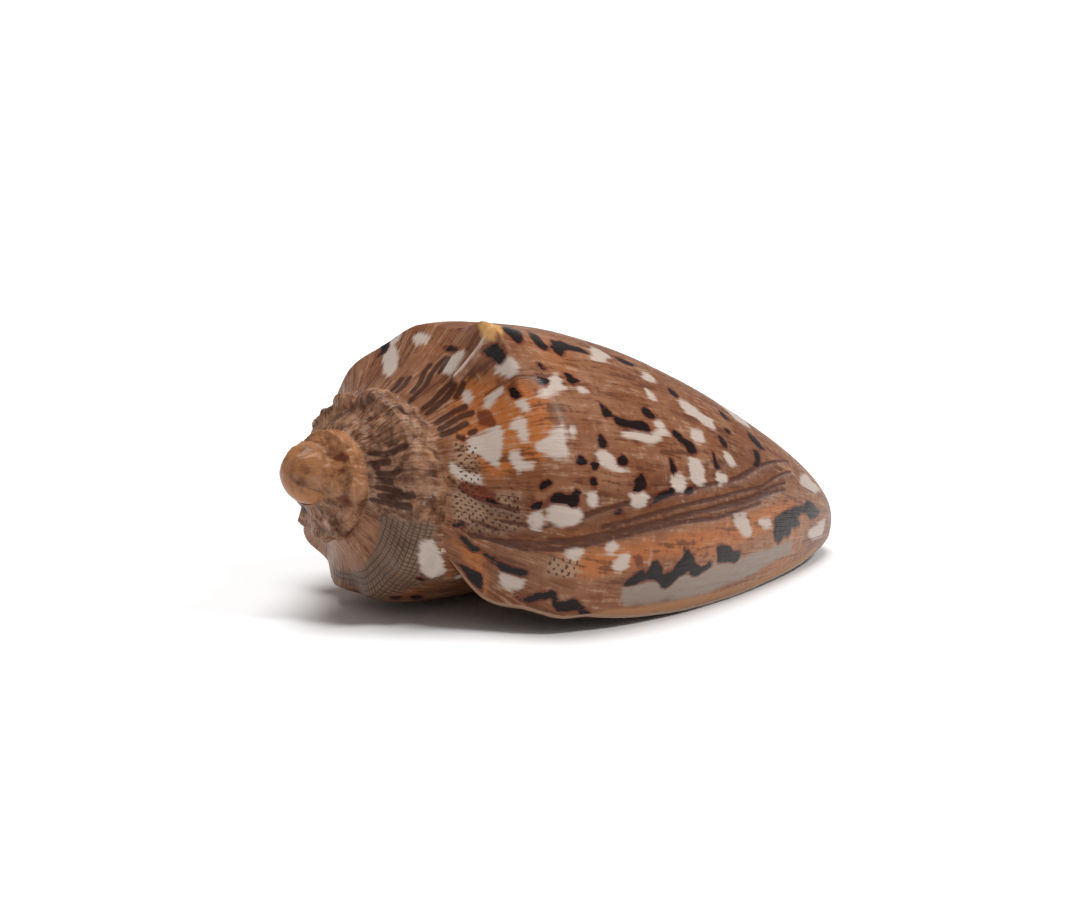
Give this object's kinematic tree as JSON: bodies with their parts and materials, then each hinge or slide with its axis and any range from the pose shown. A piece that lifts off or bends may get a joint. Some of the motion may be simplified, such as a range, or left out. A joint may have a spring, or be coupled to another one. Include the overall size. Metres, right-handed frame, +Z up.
{
  "type": "volute shell",
  "caption": "Spotted volute shell: a right-handed sea snail shell with a knobbed shoulder, short spire and long aperture, lying mouth down.",
  "frame": {"origin": "centre of the bounding box's bottom face, on the ground under the resting shell", "axes": "+Z up, +X along the coiling axis from the apex towards the front end, -Y towards the outer lip; the aperture faces down"},
  "size_m": [0.0886, 0.0448, 0.0382],
  "materials": {
    "shell": "glossy natural shell, orange brown with white tents and black blotches"
  },
  "bodies": {
    "root": {"volute_shell": "shell"}
  },
  "joints": []
}
